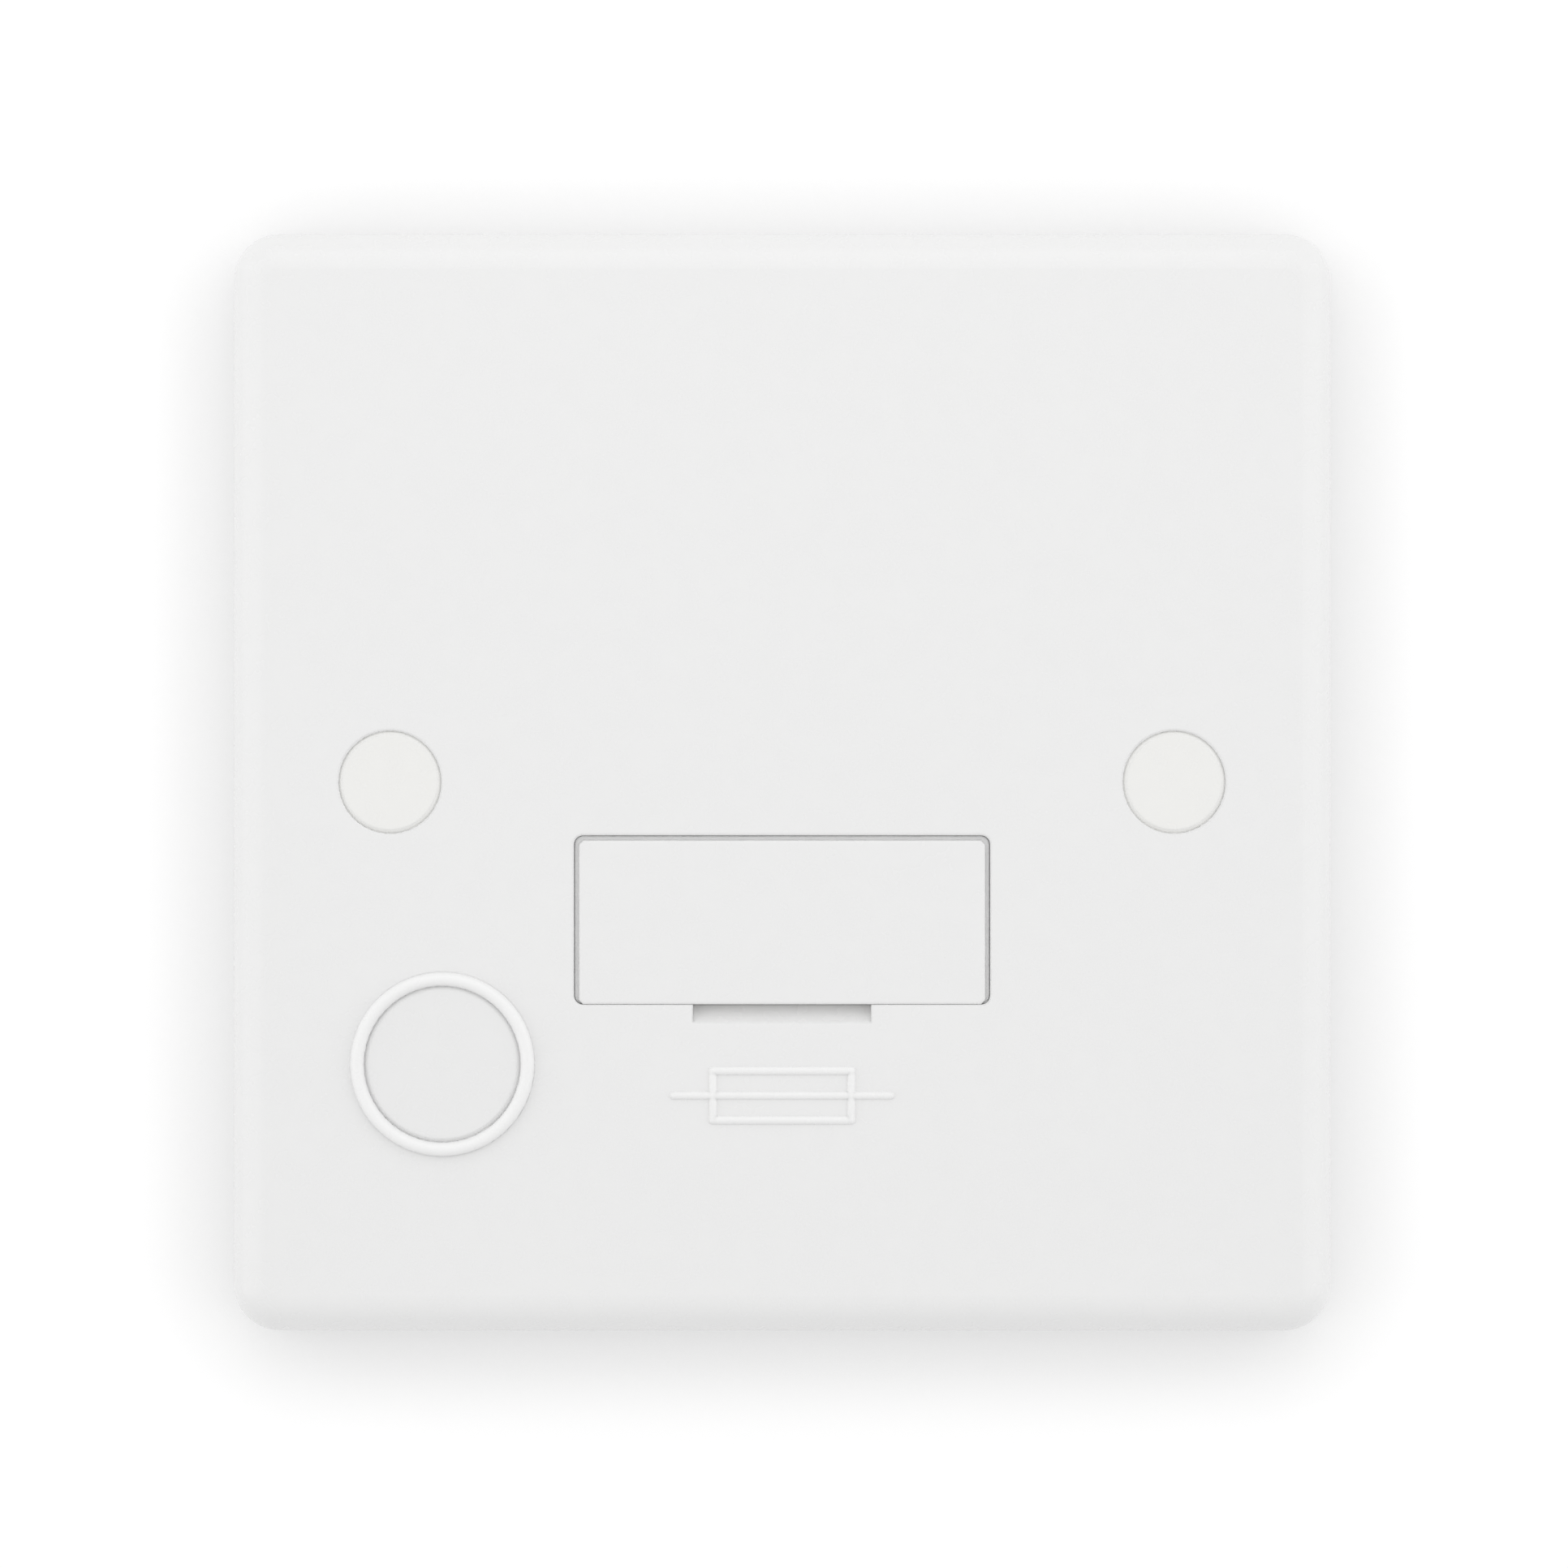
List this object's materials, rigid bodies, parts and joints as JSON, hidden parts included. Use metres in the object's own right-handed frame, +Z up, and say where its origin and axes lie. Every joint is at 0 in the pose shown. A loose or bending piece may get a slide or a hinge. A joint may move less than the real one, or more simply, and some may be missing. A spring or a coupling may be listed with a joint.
{
  "type": "fused spur unit",
  "caption": "Square moulded wall plate with a pull-out fuse carrier, round screw covers and a plugged flex outlet, on a housing with brass screw terminals.",
  "frame": {"origin": "middle of the plate's back edge, on the wall's surface, midway between the fixing screws", "axes": "+X to the viewer's right, +Y into the wall, +Z up"},
  "size_m": [0.086, 0.0317, 0.086],
  "materials": {
    "white_moulding": "glossy white urea moulding",
    "grey_moulding": "fine matte grey moulding",
    "nylon": "satin nylon",
    "brass": "turned brass",
    "spring_bronze": "folded phosphor bronze strip",
    "zinc_steel": "zinc plated steel",
    "nickel": "nickel plated cap",
    "ceramic": "ceramic tube"
  },
  "bodies": {
    "unit": {"front_plate": "white_moulding", "fixing_screws": "zinc_steel", "terminal_base": "grey_moulding", "rear_cover": "grey_moulding", "live_load_terminal": "brass", "live_supply_terminal": "brass", "neutral_bar": "brass", "earth_bar": "brass", "terminal_screws": "zinc_steel", "load_fuse_clip": "spring_bronze", "supply_fuse_clip": "spring_bronze", "housing_screws": "zinc_steel", "cord_clamp": "nylon", "cord_clamp_screws": "zinc_steel"},
    "carrier": {"fuse_carrier": "white_moulding", "fuse_barrel": "ceramic", "left_fuse_cap": "nickel", "right_fuse_cap": "nickel"},
    "left_cover": {"left_screw_cap": "white_moulding"},
    "right_cover": {"right_screw_cap": "white_moulding"},
    "plug": {"outlet_plug": "white_moulding"}
  },
  "joints": [
    {"name": "carrier_pull", "type": "slide", "parent": "unit", "child": "carrier", "axis": [0, -1, 0], "range_m": [0, 0.02]},
    {"name": "left_cover_pull", "type": "slide", "parent": "unit", "child": "left_cover", "axis": [0, -1, 0], "range_m": [0, 0.01]},
    {"name": "right_cover_pull", "type": "slide", "parent": "unit", "child": "right_cover", "axis": [0, -1, 0], "range_m": [0, 0.01]},
    {"name": "plug_pull", "type": "slide", "parent": "unit", "child": "plug", "axis": [0, -1, 0], "range_m": [0, 0.012]}
  ]
}
